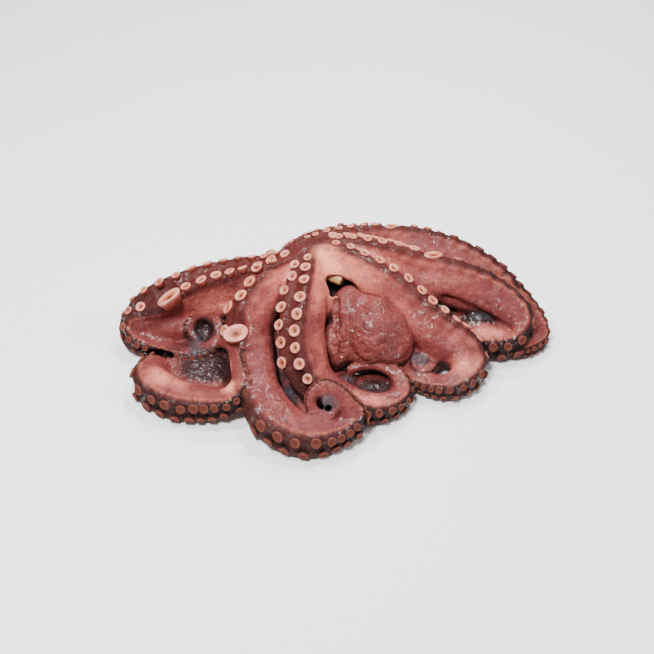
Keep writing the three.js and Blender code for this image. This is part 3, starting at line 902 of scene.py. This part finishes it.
class OCTOPUS_OT_skin(bpy.types.Operator):
    """Eight arms, crown, head and webs fused into one wrinkled skin"""

    bl_idname = "octopus.skin"
    bl_label = "Arms and webs"

    def execute(self, context):
        shape = context.scene.octopus_shape
        arms = arms_of(shape)
        by_name = {arm.name: arm for arm in arms}
        bm = bmesh.new()
        for arm in arms:
            add_arm(bm, arm, 40, 2)
        for mass in (CROWN, HEAD, *FOLDS):
            add_mass(bm, mass)
        for one, other, reach_a, reach_b, cut, sag in WEBS:
            add_web(bm, by_name[one], by_name[other], reach_a, reach_b, cut, sag, shape.web_thickness / MM)
        bmesh.ops.recalc_face_normals(bm, faces=bm.faces)
        skin = fused(mesh_object("skin", bm), shape.voxel * (1.0), self.hole())
        soften(skin.data, 7)
        chart = Chart(arms, coordinates(skin.data) / MM)
        sink_wrinkles(skin.data, chart)
        rest_flat(skin.data)
        self.mark(skin, chart)
        finish_piece(skin, skin_paint(context.scene.octopus_colours))
        return {"FINISHED"}

    def hole(self):
        """What is taken out for the dark hollow under the crown."""
        bm = bmesh.new()
        for centre, size, slant in HOLLOWS:
            at = Matrix.Translation((Vector(centre) + Vector(SHIFT)) * MM)
            turn = Matrix.Rotation(math.radians(45), 4, "X") @ Matrix.Rotation(math.radians(slant), 4, "Z")
            scale = Matrix.Diagonal((*(Vector(size) * MM), 1.0))
            bmesh.ops.create_uvsphere(bm, u_segments=32, v_segments=20, radius=1.0, matrix=at @ turn @ scale)
        return fused(mesh_object("hole", bm), 0.0016)

    def mark(self, skin, chart):
        mesh = skin.data
        angle = np.degrees(np.abs(chart.angle))
        oral = smooth_step(60, 46, angle) * chart.on_arm
        put_attribute(skin, "oral", spread(mesh, oral, 2))
        put_attribute(skin, "reach", spread(mesh, chart.reach * chart.on_arm, 4))
        co = coordinates(mesh)
        # Painted light: paler flanks towards the crown at the top and at the warm places.
        crown = np.linalg.norm((co / MM - [-8, 50, 76]) / [15, 13, 12], axis=1)
        put_attribute(skin, "pale", spots_at(co / MM, PALES, 0.2))
        painted_warm_light = 0.75 * spots_at(co / MM, PAINTED_WARM_LIGHTS, 0.2)
        put_attribute(skin, "near", np.maximum(smooth_step(4.6, 0.8, crown), painted_warm_light))
        # Stain mask: real juice stain, and painted shade in deep gaps and hollows.
        put_attribute(skin, "stain", spots_at(co / MM, STAINS_AND_SHADES, 0.45))
        # Painted grey-blue reflection and shade over deep places.
        put_attribute(skin, "film", spots_at(co / MM, PAINTED_SHEENS, 0.45))
        put_attribute(skin, "wet", spots_at(co / MM, WETS, 0.3))
        lip = bell(angle, 60, 4.0) * chart.on_arm * smooth_step(0.42, 0.52, chart.reach)
        put_attribute(skin, "edge", lip * (0.65 + 0.25 * np.cos(4 * math.pi * chart.phase)))
        # Painted crease shade: how shut in each point is.
        tree = BVHTree.FromPolygons([Vector(c) for c in co], [tuple(f.vertices) for f in mesh.polygons])
        shut = hollows(co, normals(mesh), tree)
        put_attribute(skin, "hollow", spread(mesh, shut, 3))


class OCTOPUS_OT_mantle(bpy.types.Operator):
    """Round mantle with its side lobe, finely wrinkled"""

    bl_idname = "octopus.mantle"
    bl_label = "Mantle"

    def execute(self, context):
        bm = bmesh.new()
        for mass in (*MANTLE, LOBE):
            add_mass(bm, mass, 128, 80)
        mantle = fused(mesh_object("mantle", bm), 0.0012)
        mesh = mantle.data
        soften(mesh, 24)
        co = coordinates(mesh)
        mm = co / MM
        out = 2.2 * lumps(mm, 24, 11) + 0.35 * lumps(mm, 6, 12) - 0.7 * (1 - ridges(mm, 12, 14)) ** 5
        out -= 1.1 * spots_at(mm, MANTLE_FOLDS, 0.3) * (1 - ridges(mm, 6, 15)) ** 3
        out -= press_creases(mm)
        set_coordinates(mesh, co + normals(mesh) * (out * MM)[:, None])
        rest_flat(mesh)
        # Painted crease shade: how shut in the mantle is by itself and the skin.
        put_attribute(mantle, "hollow", self.shade(mantle))
        finish_piece(mantle, mantle_paint(context.scene.octopus_colours))
        return {"FINISHED"}

    def shade(self, mantle):
        points, faces = [], []
        for piece in (mantle, bpy.data.objects["skin"]):
            first = len(points)
            points += [Vector(c) for c in coordinates(piece.data)]
            faces += [tuple(first + v for v in f.vertices) for f in piece.data.polygons]
        tree = BVHTree.FromPolygons(points, faces)
        return spread(mantle.data, hollows(coordinates(mantle.data), normals(mantle.data), tree), 3)


class OCTOPUS_OT_siphon(bpy.types.Operator):
    """Short breathing tube under the crown"""

    bl_idname = "octopus.siphon"
    bl_label = "Siphon"

    def execute(self, context):
        outline = [
            (5.6, -4), (5.4, 4), (4.9, 11), (4.7, 14), (4.1, 15.4), (3.2, 15.2), (2.6, 13), (2.2, 8), (0.4, 7),
        ]
        bm = bmesh.new()
        marks = bm.verts.layers.float.new("heart")
        ring = bmesh.ops.create_circle(bm, segments=28, radius=1.0)["verts"]
        edges = list({e for v in ring for e in v.link_edges})
        way = Vector((0.85, -0.5, -0.1)).normalized()
        turn = Vector((0, 0, 1)).rotation_difference(way)
        start = Vector((-7, 46, 60.5)) + Vector(SHIFT)
        points = []
        for radius, height in outline:
            points.append(
                [
                    start + turn @ Vector((radius * math.cos(a), radius * math.sin(a), height))
                    for a in (2 * math.pi * i / 28 for i in range(28))
                ]
            )
        place_ring(ring, points[0])
        for i, row in enumerate(points[1:], 1):
            ring, edges = push_ring(bm, ring, edges, row)
            for vert in ring:
                vert[marks] = smooth_step(4, 8, float(i))
        bmesh.ops.contextual_create(bm, geom=edges)
        bmesh.ops.holes_fill(bm, edges=bm.edges)
        bmesh.ops.recalc_face_normals(bm, faces=bm.faces)
        siphon = mesh_object("siphon", bm)
        mesh = siphon.data
        co = coordinates(mesh)
        set_coordinates(mesh, co + normals(mesh) * (0.4 * lumps(co / MM, 4, 8) * MM)[:, None])
        finish_piece(siphon, siphon_paint(context.scene.octopus_colours))
        return {"FINISHED"}


class OCTOPUS_OT_suckers(bpy.types.Operator):
    """Two rows of cupped suckers along every arm, sitting on the skin"""

    bl_idname = "octopus.suckers"
    bl_label = "Suckers"

    # radius, height and place from the foot (0) to the heart of the cup (1)
    outline = [
        (0.9, -0.9, 0.0), (1.0, 0.2, 0.34), (0.9, 0.36, 0.46), (0.7, 0.25, 0.6), (0.4, 0.08, 0.78),
        (0.12, 0.0, 0.97),
    ]

    # dent of the skin under a sucker, all over its radius: how deep, how far past the rim it runs
    # level, how steeply it then rises, and how far round and above the foot skin gives way
    dent, brim, bank, around, above = 0.08, 1.06, 1.3, 1.7, 1.2

    def execute(self, context):
        shape = context.scene.octopus_shape
        skin = bpy.data.objects["skin"]
        co = coordinates(skin.data)
        tree = BVHTree.FromPolygons([Vector(c) for c in co], [tuple(f.vertices) for f in skin.data.polygons])
        bm = bmesh.new()
        self.heart = bm.verts.layers.float.new("heart")
        self.dim = bm.verts.layers.float.new("dim")
        rng = np.random.default_rng(12)
        for arm in arms_of(shape):
            for row, distance, size, facing in self.spots(arm, shape):
                self.seat(bm, tree, co, arm, row, distance, size, facing, rng)
        set_coordinates(skin.data, co)
        bmesh.ops.recalc_face_normals(bm, faces=bm.faces)
        piece = mesh_object("suckers", bm)
        rest_flat(skin.data)
        rest_flat(piece.data)
        finish_piece(piece, sucker_paint(context.scene.octopus_colours))
        return {"FINISHED"}

    def spots(self, arm, shape):
        """Row, distance along the arm and rim radius of each of its suckers."""
        big, bare = BIG_SUCKERS.get(arm.name), BARE.get(arm.name)
        scale = ARM_HABIT[arm.name][0]
        for row in (-1, 1):
            count = 1 if row < 0 else 1.5
            while count < arm.phase[-1]:
                distance = float(np.interp(count, arm.phase, arm.distance))
                radius = float(np.interp(distance, arm.distance, arm.depth)) * shape.sucker_size
                crowded = big and row == big[0] and abs(distance - big[1]) < radius * (big[2] + 0.8)
                lost = bare and bare[0] < distance < bare[1]
                if not crowded and not lost and radius > 0.8:
                    full = scale + (1 - scale) * float(smooth_step(0.45, 0.6, distance / arm.length))
                    yield row, distance, radius * full, None
                count += 1
        if big:
            radius = float(np.interp(big[1], arm.distance, arm.depth)) * shape.sucker_size
            yield big[0], big[1], radius * big[2], big[3:]

    def seat(self, bm, tree, co, arm, row, distance, radius, given, rng):
        """One sucker, if its place on the skin is free."""
        k = arm.at(distance)
        angle = row * row_angle(distance) * (given[0] if given else 1.0) + rng.normal(0, 0.03)
        expected = arm.skin(k, angle)
        out = unit(expected - arm.place[k])
        start = Vector((arm.place[k] + out * arm.depth[k] * 1.9) * MM)
        hit, facing, _, _ = tree.ray_cast(start, Vector(-out), 0.06)
        if hit is None or (hit - Vector(expected * MM)).length > 0.22 * arm.depth[k] * MM + 0.0015:
            return
        habit = ARM_HABIT[arm.name]
        reach = arm.distance[k] / arm.length
        early = 1 - float(smooth_step(0.3, 0.5, reach))
        away = {"left": 1, "back_right": -1}.get(arm.name, 0) == row and not given
        turn = angle * (1 - 0.55 * early) + math.radians(habit[1]) * early
        turn = angle * 0.85 + 0.17 if away and row > 0 else angle * 0.85 - 0.17 if away else turn
        plain = Vector(unit(math.cos(turn) * arm.oral[k] + math.sin(turn) * arm.side[k]))
        _, way, rise, oval = given or (1.0, facing * 0.25 + plain, 0.3, 1 + rng.uniform(-0.12, 0.12))
        facing = Vector(way).normalized()
        radius *= rng.uniform(0.93, 1.07) * (0.86 if away else 1.0)
        lift = self.clearance(tree, hit, facing, radius, rise)
        # Dim: the suckers' own darker colour on the coiled tips with painted shade of the coil undersides.
        dim = float(smooth_step(habit[3], habit[3] + 0.1, reach))
        segments = 24 if given else 12 if radius > 2.6 else 8
        sunk = habit[4] if away else 0.0
        if radius > 2.2:
            foot = hit + facing * (lift - sunk * radius * MM)
            self.press(co, foot, facing, radius * max(1.0, (1 + oval) / 2))
        along = Vector(arm.along[k])
        self.cup(bm, hit + facing * lift, facing, along, radius, segments, dim, sunk, oval, rng)

    def clearance(self, tree, foot, facing, radius, rise):
        """How far a sucker is raised so that the skin round its foot doesn't come through the cup."""
        across = facing.orthogonal().normalized()
        other = facing.cross(across)
        high = [0.0]
        for wide, count, rim in ((0.95, 16, 0.1), (0.5, 6, -0.15)):
            for j in range(count):
                a = 2 * math.pi * j / count
                point = foot + (across * math.cos(a) + other * math.sin(a)) * radius * wide * MM
                hit = tree.ray_cast(point + facing * radius * 1.6 * MM, -facing, radius * 3 * MM)[0]
                if hit is not None:
                    high.append((hit - foot).dot(facing) / MM - rim * radius)
        return min(rise * radius, sorted(high)[-3]) * MM

    def press(self, co, foot, facing, radius):
        """The skin under a sucker gives way, so that none of it stands up through the cup."""
        out = np.array(facing)
        from_foot = co - np.array(foot)
        high = from_foot @ out / MM
        wide = np.linalg.norm(from_foot / MM - high[:, None] * out, axis=1)
        limit = radius * (np.maximum(0, wide / radius - self.brim) * self.bank - self.dent)
        under = (wide < radius * self.around) & (high > limit) & (high < radius * self.above)
        co[under] -= ((high - limit)[under] * MM)[:, None] * out

    def cup(self, bm, foot, facing, along, radius, segments, dim, sunk, oval, rng):
        across = facing.cross(along).normalized()
        ahead = across.cross(facing)
        tilt = [rng.normal(0, 0.07), rng.normal(0, 0.07)]
        swing = rng.uniform(0, 0.3)
        oval = (oval - 1) / 2
        ring = bmesh.ops.create_circle(bm, segments=segments, radius=1.0)["verts"]
        edges = list({e for v in ring for e in v.link_edges})
        sunk, tall = (0.0, 0.6) if segments > 12 else (0.1 * dim + sunk, 1 - 0.25 * dim)
        for i, (wide, high, heart) in enumerate(self.outline):
            if i == 0 and segments > 12:
                wide, high = 0.72, -1.5
            points = []
            for j in range(segments):
                a = 2 * math.pi * j / segments
                stretch = 1 + oval * math.cos(2 * (a - swing)) + 0.02 * math.sin(3 * a + swing)
                spread_out = wide * radius * stretch
                x, y = spread_out * math.cos(a), spread_out * math.sin(a)
                lift = (high * tall - sunk) * radius + (tilt[0] * x + tilt[1] * y) * (heart > 0)
                points.append(foot / MM + ahead * x + across * y + facing * lift)
            if i == 0:
                bmesh.ops.contextual_create(bm, geom=edges)
                place_ring(ring, points)
            else:
                ring, edges = push_ring(bm, ring, edges, points)
            for vert in ring:
                vert[self.heart], vert[self.dim] = heart, dim
        bmesh.ops.contextual_create(bm, geom=edges)


class OCTOPUS_OT_stage(bpy.types.Operator):
    """Pale floor, soft studio light and the camera"""

    bl_idname = "octopus.stage"
    bl_label = "Stage"

    def execute(self, context):
        bm = bmesh.new()
        bmesh.ops.create_grid(bm, x_segments=1, y_segments=1, size=6.0)
        floor = mesh_object("floor", bm)
        floor.data.materials.append(floor_paint())
        self.light("key", (-0.25, -0.45, 1.2), (0, 0, 0.03), 0.28, 27)
        self.light("glint", (-0.55, 0.1, 1.1), (0, 0, 0.03), 0.05, 8)
        self.light("second_glint", (0.35, 0.25, 1.2), (0, 0, 0.03), 0.05, 8)
        self.light("back", (0.1, 0.7, 1.0), (0, 0, 0.03), 0.25, 9)
        self.light("side", (1.1, -0.1, 0.9), (0, 0, 0.05), 0.3, 4)
        world = bpy.data.worlds.new("studio")
        world.use_nodes = True
        world.node_tree.nodes["Background"].inputs["Color"].default_value = (1, 1, 1, 1)
        world.node_tree.nodes["Background"].inputs["Strength"].default_value = 0.25
        context.scene.world = world
        self.camera(context)
        return {"FINISHED"}

    def light(self, name, at, target, size, power):
        lamp = bpy.data.lights.new(name, "AREA")
        lamp.shape, lamp.size, lamp.energy = "DISK", size, power
        holder = bpy.data.objects.new(name, lamp)
        holder.location = at
        holder.rotation_euler = (Vector(target) - Vector(at)).to_track_quat("-Z", "Y").to_euler()
        bpy.context.scene.collection.objects.link(holder)

    def camera(self, context):
        lens = bpy.data.cameras.new("camera")
        lens.lens, lens.sensor_width = 72, 36
        target = Vector((-0.0072, 0.0075, 0.035))
        back = Vector((0, -math.cos(math.radians(45)), math.sin(math.radians(45))))
        holder = bpy.data.objects.new("camera", lens)
        holder.location = target + back * 1.1
        holder.rotation_euler = (-back).to_track_quat("-Z", "Y").to_euler()
        context.scene.collection.objects.link(holder)
        context.scene.camera = holder


class OCTOPUS_PT_panel(bpy.types.Panel):
    """Sizes, colours and pieces of the octopus"""

    bl_idname = "OCTOPUS_PT_panel"
    bl_label = "Cooked octopus"
    bl_space_type = "VIEW_3D"
    bl_region_type = "UI"
    bl_category = "Octopus"

    def draw(self, context):
        for group in (context.scene.octopus_shape, context.scene.octopus_colours):
            box = self.layout.box()
            for name in group.bl_rna.properties.keys():
                if name not in ("rna_type", "name"):
                    box.prop(group, name)
        for operator in OPERATORS:
            self.layout.operator(operator.bl_idname)


OPERATORS = (
    OCTOPUS_OT_skin,
    OCTOPUS_OT_mantle,
    OCTOPUS_OT_siphon,
    OCTOPUS_OT_suckers,
    OCTOPUS_OT_stage,
)
CLASSES = (OctopusShape, OctopusColours, *OPERATORS, OCTOPUS_PT_panel)


def register():
    for cls in CLASSES:
        bpy.utils.register_class(cls)
    bpy.types.Scene.octopus_shape = bpy.props.PointerProperty(type=OctopusShape)
    bpy.types.Scene.octopus_colours = bpy.props.PointerProperty(type=OctopusColours)


def unregister():
    del bpy.types.Scene.octopus_colours
    del bpy.types.Scene.octopus_shape
    for cls in reversed(CLASSES):
        bpy.utils.unregister_class(cls)


def main():
    register()
    bpy.ops.octopus.skin()
    bpy.ops.octopus.mantle()
    bpy.ops.octopus.siphon()
    bpy.ops.octopus.suckers()
    bpy.ops.octopus.stage()


if __name__ == "__main__":
    main()
